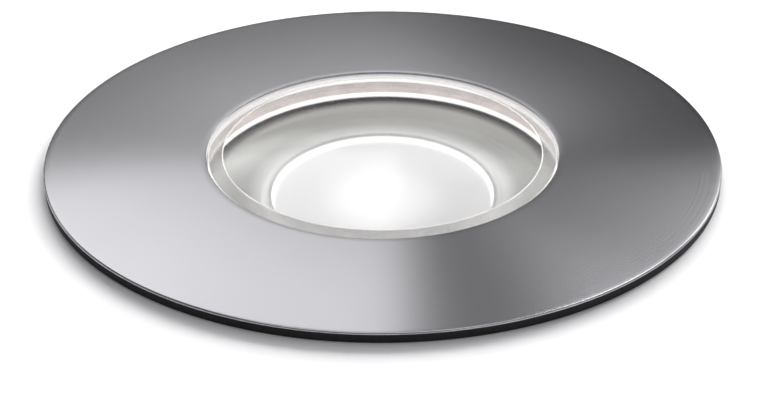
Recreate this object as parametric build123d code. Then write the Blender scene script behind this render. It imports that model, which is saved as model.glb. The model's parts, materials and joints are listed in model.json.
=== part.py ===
"""Round recessed ground light: trim plate, thick glass, finned lamp body and the sleeve that it drops into.

Millimetres, +Z up. The origin lies on the lamp's axis at ground level, where the gasket under the
trim plate meets the ground and the sleeve's rim. What lies above ground has a positive height.
"""

import os

from build123d import *

# Trim plate, the brushed disc that shows
trim_radius = 62.5
trim_edge_height = 1.1
trim_crown = 0.6  # the plate rises this much from its edge to the window
trim_edge_round = 0.45
window_radius = 32.65
window_break = 0.18  # polished break on the window's edge
gasket_thickness = 0.9
gasket_inset = 0.1  # the gasket stops this far inside the plate's edge
gasket_bore_gap = 0.3  # the gasket reaches this far inside the sleeve's bore
gasket_groove = (0.6, 0.5)  # in and out from the collar's edge; it parts the lip on the sleeve's rim
# from the ring on the ground
gasket_groove_depth = 0.3
stud_count = 3
stud_radius = 1.5
stud_length = 7.4
stud_first_angle = 90
nut_across_flats = 5.5
nut_height = 2.4
nut_pocket_radius = 3.4
nut_pocket_reserve = 1.1

# Glass, stepped so that the bezel ring's lip holds it down
glass_thickness = 12.0
glass_bevel_width = 2.85
glass_bevel_drop = 0.6
glass_gap = 0.3  # round the glass, in the window and in its seat
glass_step_depth = 6.0
glass_flange_width = 1.65
glass_edge_break = 0.4
glass_ledge = 0.7  # the lamp body's own ledge under the glass, outside the dish
top_seal_thickness = 0.5
seat_seal_thickness = 1.3
seat_seal_width = 2.2

# Bezel ring under the plate
bezel_depth = 7.0  # from ground level down to the joint with the lamp body
bezel_lip_relief = 0.2  # the lip stands back this much behind the window's edge
bezel_overhang = 0.8  # beyond the lamp body's flange

# Lamp body, one die casting
flange_thickness = 5.0
barrel_wall = 3.0
partition_thickness = 6.0
driver_bore_step = 0.6  # the driver's chamber is this much wider in radius than the optic one
driver_depth = 35.0
lower_flange_thickness = 6.0
fin_step_angle = 10
fin_thickness = 1.8
fin_depth = 6.0
fin_slope = 3.0
casting_break = 0.6
joint_screw_count = 6
joint_screw_reach = 5.0  # from the barrel out to the screw circle
joint_screw_margin = 4.2  # from the screw circle out to the flange's edge
joint_screw_radius = 2.0
joint_screw_length = 10.0
o_ring_width = 2.1
o_ring_height = 1.4
o_ring_round = 0.46
o_ring_gap = 0.1  # each side of a ring in its groove
joint_ring_margin = 1.6  # from the glass seat out to the ring's middle

# Screws: sizes that follow the thread's radius
head_per_thread = 1.75
head_height_per_thread = 2.0
socket_per_thread = 1.5  # across flats
thread_gap = 0.05  # between a thread and its tapped hole
screw_gap = 0.15  # between a shank and its plain hole
tap_reserve = 1.0  # a tapped hole goes this much deeper than its screw

# Dish, diffuser and light engine
dish_gap = 0.2
dish_thickness = 0.8
dish_bearing = 1.0  # width of the seat under the dish's flange
dish_flange_width = 1.5
dish_step = 0.6
dish_step_run = 0.3
dish_drop = 1.7
dish_collar_length = 2.4
diffuser_radius = 21.0
diffuser_thickness = 2.4
diffuser_proud = 0.2
diffuser_round = 0.5
cup_lip_width = 2.5  # the diffuser rests on it
cup_taper = 4.0
cup_height = 7.2
cup_shoulder = 1.6
cup_shoulder_width = 0.6  # beyond the dish's collar
cup_waist = 0.8
led_board_margin = 3.3
led_board_thickness = 1.6
pad_thickness = 0.5
pad_inset = 0.5
board_screw_gap = 0.875  # between the cup and the screw heads
board_screw_count = 3
board_screw_first_angle = 30
board_screw_radius = 1.5
board_screw_length = 6.0
led_side = 3.0
led_height = 0.7
led_rings = ((3, 4.2), (9, 10.2))  # how many on each circle, and its radius
lead_angle = 90
lead_radius = 0.8
lead_spacing = 2.2
lead_hole_radius = 2.4
connector_size = (4.5, 6.5, 3.0)  # radial, tangential, height

# Driver under the partition
boss_radius = 3.4
boss_length = 6.0
driver_screw_margin = 6.0  # from the board's edge in to the screw circle
driver_screw_count = 3
driver_screw_first_angle = 70
driver_screw_radius = 1.5
driver_screw_length = 6.0
driver_board_gap = 3.0  # between the board and the chamber's wall
driver_board_thickness = 1.6
core_size = (18.0, 13.0, 14.0)
core_window = (11.0, 9.0)
winding_gap = 0.2
winding_overhang = 2.0
core_place = (-9.0, 6.5)
can_sizes = ((5.0, 15.0), (4.0, 13.0), (4.0, 13.0))  # radius and height
can_places = ((10.0, 11.5), (17.5, -3.5), (8.0, -1.0))
choke_radius = 6.0
choke_bore = 2.5
choke_height = 6.0
choke_round = 1.2
choke_place = (-17.0, -13.0)
block_size = (17.0, 10.0, 11.0)
block_place = (0.0, -19.0)
block_poles = 3
pole_pitch = 5.0
wire_entry_radius = 1.6
clamp_screw_radius = 1.5
clamp_screw_length = 4.0
slot_width = 0.7
slot_depth = 0.8
earth_screw_radius = 2.0
earth_screw_length = 5.0
earth_head_height = 2.4
earth_washer_radius = 4.4
earth_washer_thickness = 0.8
earth_place = (-16.0, 18.0)

# Bottom cover and cable gland
cover_thickness = 4.0
spigot_height = 3.0
spigot_wall = 2.8
spigot_gap = 0.2
cover_ring_margin = 2.1  # from the driver's chamber out to the ring's middle
cover_screw_count = 6
cover_screw_margin = 3.1  # from the lower flange's edge in to the screw circle
cover_screw_radius = 1.5
cover_screw_length = 8.0
cover_break = 1.2
gland_thread_radius = 8.0
gland_washer_radius = 11.0
gland_washer_thickness = 1.2
gland_across_flats = 20.0
gland_hex_height = 5.0
gland_nose_inset = 0.4  # the nose is this much slimmer than the thread
gland_nose_length = 8.3
gland_bore = 4.0
gland_seal_bore = 3.5
gland_seal_wall = 2.2
gland_seal_length = 6.8
gland_seal_end_length = 1.0  # its slim ends, in the body's bore and in the nut's mouth
gland_seal_end_gap = 0.1
gland_nut_gap = 0.5
gland_nut_end = 3.0
gland_nut_mouth = 4.6
locknut_across_flats = 19.0
locknut_height = 3.5
vent_thread_radius = 4.0
vent_head_radius = 6.5
vent_head_height = 2.6
vent_head_round = 0.85
vent_length = 6.0
vent_reach = 22.0
vent_angle = 200

# Grip arms: they swing on pins in the lamp body's lugs and press on the sleeve's wall
arm_angles = (30, 150, 270)
arm_width = 8.0
arm_thickness = 1.2
arm_ear_thickness = 1.6
arm_eye_wall = 1.4
arm_bend_radius = 2.0
arm_wall_gap = 0.3
arm_start = 6.0  # the blade begins this far below the pivot
arm_knee = (3.0, 9.0)  # out from and below the pivot
arm_pad_top = 17.0
arm_pad_length = 5.0
arm_tip = (1.9, 3.5)  # in from and below the pad's lower end
pivot_depth = 24.0
pin_radius = 1.5
pin_running_gap = 0.05
lug_thickness = 3.0
lug_wall = 1.7
lug_side_gap = 0.3
coil_bore_gap = 0.2
coil_wall = 1.0
coil_side_gap = 0.1
coil_barrel_gap = 0.3  # between the coil and the lamp body
wire_radius = 0.45
leg_offset = 1.2
upper_leg_length = 7.5
fin_free_angle = 16  # no fin this near an arm
screw_free_angle = 7  # and none this near a screw head

# Mounting sleeve, a tube open to the gravel below, with a conduit entry on each side
lamp_clearance = 0.8
sleeve_wall = 2.0
cable_room = 35.5  # from the lamp's bottom cover down to the sleeve's foot
collar_wall = 3.7
collar_height = 10.0
foot_height = 3.0
rib_set_back = 0.7  # ribs and foot stay inside the collar's edge
ring_rib_height = 2.0
ring_rib_pitch = 20.0
ring_rib_count = 3
upright_rib_count = 8
upright_rib_width = 2.4
entry_rise = 15.0  # from the foot's underside to the entries' axis
entry_pad_thickness = 1.8  # flat pad on the sleeve's inside, round each entry
entry_pad_radius = 13.4
conduit_bore = 10.1  # takes 20 mm conduit
conduit_depth = 7.0
conduit_lead_in = 0.5
conduit_hole_gap = 0.5  # the sleeve's hole is this much wider than the hub's bore
hub_wall = 1.5
hub_flange_width = 0.7
hub_flange_thickness = 1.6
hub_stop_width = 0.5
hub_stop_thickness = 1.5
plug_hole_radius = 8.6  # the spare entry, for 16 mm conduit
plug_gap = 0.1
plug_wall = 1.2
plug_floor = 1.6
plug_reach = 1.2  # beyond the sleeve's bore, nearly flush with its outside
plug_flange_width = 2.0
plug_flange_thickness = 1.6

# Heights, worked out from the sizes above
seat = gasket_thickness
plate_edge_top = seat + trim_edge_height
window_top = plate_edge_top + trim_crown
glass_bottom = window_top - glass_thickness
glass_step = window_top - glass_step_depth
lip_bottom = glass_step + top_seal_thickness
ledge = glass_bottom - seat_seal_thickness
joint = -bezel_depth
flange_bottom = joint - flange_thickness
dish_seat = ledge - dish_thickness
dish_rim = ledge - dish_step
dish_centre = dish_rim - dish_drop
diffuser_top = dish_centre + diffuser_proud
cup_top = diffuser_top - diffuser_thickness
led_board_top = cup_top - cup_height
led_board_bottom = led_board_top - led_board_thickness
partition_top = led_board_bottom - pad_thickness
partition_bottom = partition_top - partition_thickness
boss_bottom = partition_bottom - boss_length
driver_board_bottom = boss_bottom - driver_board_thickness
cover_top = partition_bottom - driver_depth
cover_bottom = cover_top - cover_thickness
lower_flange_top = cover_top + lower_flange_thickness
washer_bottom = cover_bottom - gland_washer_thickness
gland_hex_bottom = washer_bottom - gland_hex_height
gland_nose_end = gland_hex_bottom - gland_nose_length
locknut_top = cover_top + locknut_height
pivot = -pivot_depth
sleeve_foot = cover_bottom - cable_room
entry_height = sleeve_foot + entry_rise

# Radii, from the window outwards
glass_upper_radius = window_radius - glass_gap
glass_flat_radius = glass_upper_radius - glass_bevel_width
glass_flange_radius = glass_upper_radius + glass_flange_width
glass_seat_radius = glass_flange_radius + glass_gap
seat_seal_bore = glass_flange_radius - seat_seal_width
dish_seat_radius = glass_seat_radius - glass_ledge
dish_flange_radius = dish_seat_radius - dish_gap
dish_step_radius = dish_flange_radius - dish_flange_width
dish_rim_radius = dish_step_radius - dish_step_run
optic_bore = dish_flange_radius - dish_bearing
driver_bore = optic_bore + driver_bore_step
barrel_radius = driver_bore + barrel_wall
fin_radius = barrel_radius + fin_depth
lower_flange_radius = fin_radius
joint_ring_radius = glass_seat_radius + joint_ring_margin
joint_screw_circle = barrel_radius + joint_screw_reach
stud_circle = joint_screw_circle
flange_radius = joint_screw_circle + joint_screw_margin
bezel_radius = flange_radius + bezel_overhang
sleeve_bore = bezel_radius + lamp_clearance
sleeve_radius = sleeve_bore + sleeve_wall
collar_radius = sleeve_bore + collar_wall
rib_radius = collar_radius - rib_set_back
cover_ring_radius = driver_bore + cover_ring_margin
cover_screw_circle = lower_flange_radius - cover_screw_margin
driver_board_radius = driver_bore - driver_board_gap
driver_screw_circle = driver_board_radius - driver_screw_margin

# Radii, from the diffuser outwards
dish_collar_bore = diffuser_radius + dish_gap
dish_collar_radius = dish_collar_bore + dish_thickness
cup_mouth_radius = diffuser_radius - cup_lip_width
cup_throat_radius = cup_mouth_radius - cup_taper
cup_shoulder_radius = dish_collar_radius + cup_shoulder_width
cup_foot_radius = diffuser_radius - cup_waist
board_screw_circle = cup_foot_radius + board_screw_gap + head_per_thread * board_screw_radius
led_board_radius = board_screw_circle + led_board_margin

# Other sizes that follow
nut_pocket_depth = nut_height + nut_pocket_reserve
gland_nose_radius = gland_thread_radius - gland_nose_inset
lug_radius = pin_radius + lug_wall
arm_eye_radius = pin_radius + arm_eye_wall
coil_bore = pin_radius + coil_bore_gap
coil_radius = coil_bore + coil_wall
pivot_radius = barrel_radius + coil_radius + coil_barrel_gap
lug_offset = arm_width / 2 + lug_side_gap
entry_pad_face = sleeve_bore - entry_pad_thickness
upward = (Align.CENTER, Align.CENTER, Align.MIN)


def turned(*corners):
    # a ring or disc turned about the lamp's axis, from its (radius, height) corners
    outline = Polyline(*[(radius, 0, height) for radius, height in corners], close=True)
    return revolve(make_face(outline), Axis.Z)


def rod(radius, low, high):
    return Pos(0, 0, low) * Cylinder(radius, high - low, align=upward)


def ring(bore, radius, low, high):
    return turned((bore, low), (radius, low), (radius, high), (bore, high))


def hexagon(across_flats, low, high):
    flats = RegularPolygon(across_flats / 2, 6, major_radius=False)
    return Pos(0, 0, low) * extrude(flats, high - low)


def block(size, low):
    return Pos(0, 0, low) * Box(*size, align=upward)


def around(piece, count, circle, first_angle=0):
    return [place * piece for place in PolarLocations(circle, count, first_angle)]


def group(pieces):
    return Compound(children=list(pieces))


def cap_screw(thread, length):
    # socket-head screw: its head hangs below height 0 and its shank stands above
    head = head_height_per_thread * thread
    body = rod(head_per_thread * thread, -head, 0) + rod(thread, 0, length)
    return body - hexagon(socket_per_thread * thread, -head, -head / 2)


def driven_down(screw):
    return Rot(180, 0, 0) * screw


def squeezed_ring(radius, low):
    # an O-ring as it lies squeezed in its groove
    half = o_ring_width / 2
    flat = ring(radius - half, radius + half, low, low + o_ring_height)
    return fillet(flat.edges(), o_ring_round)


def ring_groove(radius, low, high):
    half = o_ring_width / 2 + o_ring_gap
    return ring(radius - half, radius + half, low, high)


def across(outline, half_width):
    # a flat outline in radius and height, thickened evenly to both sides
    return extrude(Plane.XZ * outline, half_width, both=True)


def make_trim_plate():
    plate = turned(
        (window_radius, seat),
        (trim_radius, seat),
        (trim_radius, plate_edge_top),
        (window_radius, window_top),
    )
    plate = chamfer(plate.edges().filter_by(GeomType.CIRCLE).sort_by(Axis.Z)[-1], window_break)
    outer = plate.edges().filter_by(GeomType.CIRCLE).group_by(SortBy.RADIUS)[-1]
    return fillet(outer.sort_by(Axis.Z)[-1], trim_edge_round)


def make_rim_gasket():
    gasket = ring(sleeve_bore - gasket_bore_gap, trim_radius - gasket_inset, 0, gasket_thickness)
    inward, outward = gasket_groove
    return gasket - ring(collar_radius - inward, collar_radius + outward, 0, gasket_groove_depth)


def make_trim_studs():
    stud = rod(stud_radius, seat - stud_length, seat)
    return group(around(stud, stud_count, stud_circle, stud_first_angle))


def make_trim_nuts():
    top = joint + nut_pocket_depth
    nut = hexagon(nut_across_flats, top - nut_height, top) - rod(stud_radius + thread_gap, joint, seat)
    return group(around(nut, stud_count, stud_circle, stud_first_angle))


def make_glass_lens():
    return turned(
        (0, glass_bottom),
        (glass_flange_radius - glass_edge_break, glass_bottom),
        (glass_flange_radius, glass_bottom + glass_edge_break),
        (glass_flange_radius, glass_step),
        (glass_upper_radius, glass_step),
        (glass_upper_radius, window_top - glass_bevel_drop),
        (glass_flat_radius, window_top),
        (0, window_top),
    )


def make_glass_top_seal():
    return ring(window_radius + bezel_lip_relief, glass_flange_radius, glass_step, lip_bottom)


def make_glass_seat_seal():
    return ring(seat_seal_bore, glass_flange_radius, ledge, glass_bottom)


def make_bezel_ring():
    bezel = turned(
        (window_radius + bezel_lip_relief, lip_bottom),
        (window_radius + bezel_lip_relief, seat),
        (bezel_radius, seat),
        (bezel_radius, joint),
        (glass_seat_radius, joint),
        (glass_seat_radius, lip_bottom),
    )
    stud_hole = rod(stud_radius + screw_gap, joint, seat)
    pocket = rod(nut_pocket_radius, joint, joint + nut_pocket_depth)
    bezel -= around(stud_hole + pocket, stud_count, stud_circle, stud_first_angle)
    depth = joint_screw_length - flange_thickness + tap_reserve
    tapped = rod(joint_screw_radius + thread_gap, joint, joint + depth)
    return bezel - around(tapped, joint_screw_count, joint_screw_circle)


def fin_angles():
    # every step round the barrel that leaves room for the grip arms and the joint's screw heads
    screw_step = 360 / joint_screw_count
    for number in range(round(360 / fin_step_angle)):
        angle = number * fin_step_angle
        from_arm = min(abs((angle - arm + 180) % 360 - 180) for arm in arm_angles)
        from_screw = abs((angle + screw_step / 2) % screw_step - screw_step / 2)
        if from_arm > fin_free_angle and from_screw > screw_free_angle:
            yield angle


def make_fin():
    root = barrel_radius - casting_break
    outline = Polyline(
        (root, flange_bottom),
        (barrel_radius, flange_bottom),
        (fin_radius, flange_bottom - fin_slope),
        (fin_radius, lower_flange_top),
        (root, lower_flange_top),
        close=True,
    )
    return across(make_face(outline), fin_thickness / 2)


def make_lug_pair():
    root = barrel_radius - casting_break
    web = Polyline(
        (root, pivot + lug_radius + fin_slope),
        (pivot_radius, pivot + lug_radius),
        (pivot_radius, pivot - lug_radius),
        (root, pivot - lug_radius - fin_slope),
        close=True,
    )
    outline = make_face(web) + Pos(pivot_radius, pivot) * Circle(lug_radius)
    outline -= Pos(pivot_radius, pivot) * Circle(pin_radius + pin_running_gap)
    lug = across(outline, lug_thickness / 2)
    shift = lug_offset + lug_thickness / 2
    return [Pos(0, side * shift, 0) * lug for side in (-1, 1)]


def make_lamp_housing():
    housing = turned(
        (glass_seat_radius, joint),
        (flange_radius, joint),
        (flange_radius, flange_bottom),
        (barrel_radius, flange_bottom),
        (barrel_radius, lower_flange_top),
        (lower_flange_radius, lower_flange_top),
        (lower_flange_radius, cover_top),
        (driver_bore, cover_top),
        (driver_bore, partition_bottom),
        (0, partition_bottom),
        (0, partition_top),
        (optic_bore, partition_top),
        (optic_bore, dish_seat),
        (dish_seat_radius, dish_seat),
        (dish_seat_radius, ledge),
        (glass_seat_radius, ledge),
    )
    rims = housing.edges().filter_by(GeomType.CIRCLE).group_by(SortBy.RADIUS)[-1]
    housing = chamfer(rims.sort_by(Axis.Z)[0], casting_break)
    fin = make_fin()
    housing += [Rot(0, 0, angle) * fin for angle in fin_angles()]
    housing += [Rot(0, 0, angle) * lug for angle in arm_angles for lug in make_lug_pair()]
    boss = rod(boss_radius, boss_bottom, partition_bottom)
    housing += around(boss, driver_screw_count, driver_screw_circle, driver_screw_first_angle)
    housing -= ring_groove(joint_ring_radius, joint - o_ring_height, joint)
    housing -= around(
        rod(joint_screw_radius + screw_gap, flange_bottom, joint), joint_screw_count, joint_screw_circle
    )
    board_depth = board_screw_length - led_board_thickness - pad_thickness + tap_reserve
    housing -= around(
        rod(board_screw_radius + thread_gap, partition_top - board_depth, partition_top),
        board_screw_count,
        board_screw_circle,
        board_screw_first_angle,
    )
    driver_depth_tapped = driver_screw_length - driver_board_thickness + tap_reserve
    housing -= around(
        rod(driver_screw_radius + thread_gap, boss_bottom, boss_bottom + driver_depth_tapped),
        driver_screw_count,
        driver_screw_circle,
        driver_screw_first_angle,
    )
    cover_depth = cover_screw_length - cover_thickness + tap_reserve
    housing -= around(
        rod(cover_screw_radius + thread_gap, cover_top, cover_top + cover_depth),
        cover_screw_count,
        cover_screw_circle,
        180 / cover_screw_count,
    )
    lead_hole = rod(lead_hole_radius, partition_bottom, partition_top)
    housing -= around(lead_hole, 1, board_screw_circle, lead_angle)
    earth_depth = earth_screw_length - earth_washer_thickness + tap_reserve
    earth_hole = rod(earth_screw_radius + thread_gap, partition_bottom, partition_bottom + earth_depth)
    return housing - Pos(*earth_place, 0) * earth_hole


def make_housing_screws():
    screw = Pos(0, 0, flange_bottom) * cap_screw(joint_screw_radius, joint_screw_length)
    return group(around(screw, joint_screw_count, joint_screw_circle))


def make_reflector_dish():
    return turned(
        (dish_flange_radius, ledge),
        (dish_step_radius, ledge),
        (dish_rim_radius, dish_rim),
        (dish_collar_bore, dish_centre),
        (dish_collar_bore, dish_centre - dish_collar_length),
        (dish_collar_radius, dish_centre - dish_collar_length),
        (dish_collar_radius, dish_centre - dish_thickness),
        (dish_rim_radius, dish_rim - dish_thickness),
        (dish_step_radius, dish_seat),
        (dish_flange_radius, dish_seat),
    )


def make_diffuser_disc():
    disc = rod(diffuser_radius, cup_top, diffuser_top)
    return fillet(disc.edges().filter_by(GeomType.CIRCLE).sort_by(Axis.Z)[-1], diffuser_round)


def make_light_cup():
    shoulder_top = dish_centre - dish_collar_length
    return turned(
        (cup_mouth_radius, cup_top),
        (diffuser_radius, cup_top),
        (diffuser_radius, shoulder_top),
        (cup_shoulder_radius, shoulder_top),
        (cup_shoulder_radius, shoulder_top - cup_shoulder),
        (cup_foot_radius, shoulder_top - cup_shoulder),
        (cup_foot_radius, led_board_top),
        (cup_throat_radius, led_board_top),
    )


def make_led_board():
    board = rod(led_board_radius, led_board_bottom, led_board_top)
    hole = rod(board_screw_radius + screw_gap, led_board_bottom, led_board_top)
    board -= around(hole, board_screw_count, board_screw_circle, board_screw_first_angle)
    lead_hole = rod(lead_hole_radius, led_board_bottom, led_board_top)
    return board - around(lead_hole, 1, board_screw_circle, lead_angle)


def make_led_chips():
    chip = block((led_side, led_side, led_height), led_board_top)
    return group(chip_at for count, circle in led_rings for chip_at in around(chip, count, circle))


def make_thermal_pad():
    pad = rod(led_board_radius - pad_inset, partition_top, led_board_bottom)
    hole = rod(board_screw_radius + screw_gap, partition_top, led_board_bottom)
    pad -= around(hole, board_screw_count, board_screw_circle, board_screw_first_angle)
    lead_hole = rod(lead_hole_radius, partition_top, led_board_bottom)
    return pad - around(lead_hole, 1, board_screw_circle, lead_angle)


def make_board_screws():
    screw = Pos(0, 0, led_board_top) * driven_down(cap_screw(board_screw_radius, board_screw_length))
    return group(around(screw, board_screw_count, board_screw_circle, board_screw_first_angle))


def make_lead_connector():
    return group(around(block(connector_size, led_board_top), 1, board_screw_circle, lead_angle))


def make_led_leads():
    wire = rod(lead_radius, boss_bottom, led_board_top)
    pair = [Pos(0, side * lead_spacing / 2, 0) * wire for side in (-1, 1)]
    return group(placed for lead in pair for placed in around(lead, 1, board_screw_circle, lead_angle))


def make_driver_board():
    board = rod(driver_board_radius, driver_board_bottom, boss_bottom)
    hole = rod(driver_screw_radius + screw_gap, driver_board_bottom, boss_bottom)
    return board - around(hole, driver_screw_count, driver_screw_circle, driver_screw_first_angle)


def make_driver_screws():
    screw = Pos(0, 0, driver_board_bottom) * cap_screw(driver_screw_radius, driver_screw_length)
    return group(around(screw, driver_screw_count, driver_screw_circle, driver_screw_first_angle))


def make_driver_transformer():
    length, depth, height = core_size
    window_length, window_height = core_window
    low = driver_board_bottom - height
    window_low = low + (height - window_height) / 2
    core = block(core_size, low) - block((window_length, depth, window_height), window_low)
    winding_size = (
        window_length - 2 * winding_gap,
        depth + 2 * winding_overhang,
        window_height - 2 * winding_gap,
    )
    winding = block(winding_size, window_low + winding_gap)
    winding = fillet(winding.edges().filter_by(Axis.Z), winding_overhang)
    return group([Pos(*core_place, 0) * core, Pos(*core_place, 0) * winding])


def make_driver_capacitors():
    return group(
        Pos(x, y, 0) * rod(radius, driver_board_bottom - height, driver_board_bottom)
        for (radius, height), (x, y) in zip(can_sizes, can_places)
    )


def make_driver_choke():
    choke = ring(choke_bore, choke_radius, driver_board_bottom - choke_height, driver_board_bottom)
    return Pos(*choke_place, 0) * fillet(choke.edges().filter_by(GeomType.CIRCLE), choke_round)


def pole_places():
    return [(number - (block_poles - 1) / 2) * pole_pitch for number in range(block_poles)]


def make_terminal_block():
    length, depth, height = block_size
    low = driver_board_bottom - height
    body = block(block_size, low)
    entry = Plane.XZ * Circle(wire_entry_radius)
    for x in pole_places():
        body -= Pos(x, 0, low + height / 2) * extrude(entry, depth / 2)
        body -= Pos(x, 0, 0) * rod(clamp_screw_radius + screw_gap, low, low + clamp_screw_length)
    return Pos(*block_place, 0) * body


def make_terminal_screws():
    low = driver_board_bottom - block_size[2]
    screw = rod(clamp_screw_radius, low, low + clamp_screw_length)
    screw -= block((2 * clamp_screw_radius, slot_width, slot_depth), low)
    return group(Pos(block_place[0] + x, block_place[1], 0) * screw for x in pole_places())


def make_earth_screw():
    under = partition_bottom - earth_washer_thickness
    head_end = under - earth_head_height
    head = rod(head_per_thread * earth_screw_radius, head_end, under)
    head -= hexagon(socket_per_thread * earth_screw_radius, head_end, head_end + earth_head_height / 2)
    washer = rod(earth_washer_radius, under, partition_bottom)
    shank = rod(earth_screw_radius, partition_bottom, under + earth_screw_length)
    return Pos(*earth_place, 0) * (head + washer + shank)


def make_bottom_cover():
    spigot_radius = driver_bore - spigot_gap
    cover = turned(
        (0, cover_bottom),
        (lower_flange_radius - cover_break, cover_bottom),
        (lower_flange_radius, cover_bottom + cover_break),
        (lower_flange_radius, cover_top),
        (spigot_radius, cover_top),
        (spigot_radius, cover_top + spigot_height),
        (spigot_radius - spigot_wall, cover_top + spigot_height),
        (spigot_radius - spigot_wall, cover_top),
        (0, cover_top),
    )
    cover -= ring_groove(cover_ring_radius, cover_top - o_ring_height, cover_top)
    cover -= around(
        rod(cover_screw_radius + screw_gap, cover_bottom, cover_top),
        cover_screw_count,
        cover_screw_circle,
        180 / cover_screw_count,
    )
    cover -= rod(gland_thread_radius + screw_gap, cover_bottom, cover_top)
    vent_hole = rod(vent_thread_radius + thread_gap, cover_bottom, cover_top)
    return cover - around(vent_hole, 1, vent_reach, vent_angle)


def make_cover_screws():
    screw = Pos(0, 0, cover_bottom) * cap_screw(cover_screw_radius, cover_screw_length)
    return group(around(screw, cover_screw_count, cover_screw_circle, 180 / cover_screw_count))


def make_breather_valve():
    head = fillet(
        rod(vent_head_radius, cover_bottom - vent_head_height, cover_bottom).edges().sort_by(Axis.Z)[0],
        vent_head_round,
    )
    valve = head + rod(vent_thread_radius, cover_bottom, cover_bottom + vent_length)
    return group(around(valve, 1, vent_reach, vent_angle))


def make_gland_washer():
    return ring(gland_thread_radius + screw_gap, gland_washer_radius, washer_bottom, cover_bottom)


def make_gland_body():
    body = hexagon(gland_across_flats, gland_hex_bottom, washer_bottom)
    body += rod(gland_thread_radius, washer_bottom, locknut_top + tap_reserve)
    body += rod(gland_nose_radius, gland_nose_end, gland_hex_bottom)
    body -= rod(gland_bore, gland_nose_end, locknut_top + tap_reserve)
    seat_radius = gland_seal_bore + gland_seal_wall + thread_gap
    return body - rod(seat_radius, gland_nose_end, gland_nose_end + gland_seal_length)


def make_gland_locknut():
    nut = hexagon(locknut_across_flats, cover_top, locknut_top)
    return nut - rod(gland_thread_radius + thread_gap, cover_top, locknut_top)


def make_gland_seal():
    low = gland_nose_end - gland_nut_gap
    top = gland_nose_end + gland_seal_length
    return turned(
        (gland_seal_bore, low - gland_seal_end_length),
        (gland_nut_mouth - gland_seal_end_gap, low - gland_seal_end_length),
        (gland_nut_mouth - gland_seal_end_gap, low),
        (gland_seal_bore + gland_seal_wall, low),
        (gland_seal_bore + gland_seal_wall, top),
        (gland_bore - gland_seal_end_gap, top),
        (gland_bore - gland_seal_end_gap, top + gland_seal_end_length),
        (gland_seal_bore, top + gland_seal_end_length),
    )


def make_gland_nut():
    inner_end = gland_nose_end - gland_nut_gap
    outer_end = inner_end - gland_nut_end
    top = gland_hex_bottom - gland_nut_gap
    nut = hexagon(gland_across_flats, inner_end, top)
    dome = Pos(0, 0, outer_end) * Cone(
        gland_nut_mouth + gland_nut_end, gland_across_flats / 2, gland_nut_end, align=upward
    )
    nut += dome
    nut -= rod(gland_nose_radius + thread_gap, inner_end, top)
    return nut - rod(gland_nut_mouth, outer_end, inner_end)


def make_grip_pins():
    length = 2 * (lug_offset + lug_thickness)
    pin = Pos(pivot_radius, 0, pivot) * Rot(90, 0, 0) * Cylinder(pin_radius, length)
    return group(Rot(0, 0, angle) * pin for angle in arm_angles)


def arm_path():
    # the blade's middle line, out and down from the pivot to the pad and its curled tip
    pad_radius = sleeve_bore - arm_wall_gap - arm_thickness / 2
    knee = (pivot_radius + arm_knee[0], pivot - arm_knee[1])
    share = arm_start / (arm_knee[0] ** 2 + arm_knee[1] ** 2) ** 0.5
    start = (pivot_radius + share * arm_knee[0], pivot - share * arm_knee[1])
    pad_low = pivot - arm_pad_top - arm_pad_length
    tip = (pad_radius - arm_tip[0], pad_low - arm_tip[1])
    return start, knee, (pad_radius, pivot - arm_pad_top), (pad_radius, pad_low), tip


def make_grip_arm(angle):
    path = arm_path()
    blade = across(trace(FilletPolyline(*path, radius=arm_bend_radius), arm_thickness), arm_width / 2)
    blade &= rod(sleeve_bore - arm_wall_gap, sleeve_foot, 0)
    ear = trace(Line((pivot_radius, pivot), path[0]), 2 * arm_eye_radius)
    ear += Pos(pivot_radius, pivot) * Circle(arm_eye_radius)
    ear -= Pos(pivot_radius, pivot) * Circle(pin_radius + pin_running_gap)
    cheek = across(ear, arm_ear_thickness / 2)
    shift = (arm_width - arm_ear_thickness) / 2
    arm = blade + [Pos(0, side * shift, 0) * cheek for side in (-1, 1)]
    return Rot(0, 0, angle) * arm


def wire(start, end, offset):
    # straight spring wire between two (radius, height) points, beside the arm's middle
    line = Line((start[0], offset, start[1]), (end[0], offset, end[1]))
    return sweep(Plane(origin=line @ 0, z_dir=line % 0) * Circle(wire_radius), path=line)


def make_grip_spring(angle):
    width = arm_width - 2 * (arm_ear_thickness + coil_side_gap)
    coil = across(Pos(pivot_radius, pivot) * (Circle(coil_radius) - Circle(coil_bore)), width / 2)
    leg_line = pivot_radius - coil_radius + wire_radius
    upper = wire((leg_line, pivot), (leg_line, pivot + upper_leg_length), -leg_offset)
    knee = arm_path()[1]
    touch = (knee[0] - arm_thickness / 2 - wire_radius - coil_side_gap, knee[1])
    lower = wire((leg_line + wire_radius, pivot - coil_radius / 2), touch, leg_offset)
    return Rot(0, 0, angle) * (coil + upper + lower)


def entry_along(radius, inner, outer):
    # a rod along the entries' axis, between two distances from the lamp's axis
    return Pos(0, 0, entry_height) * Rot(0, 90, 0) * rod(radius, inner, outer)


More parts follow.
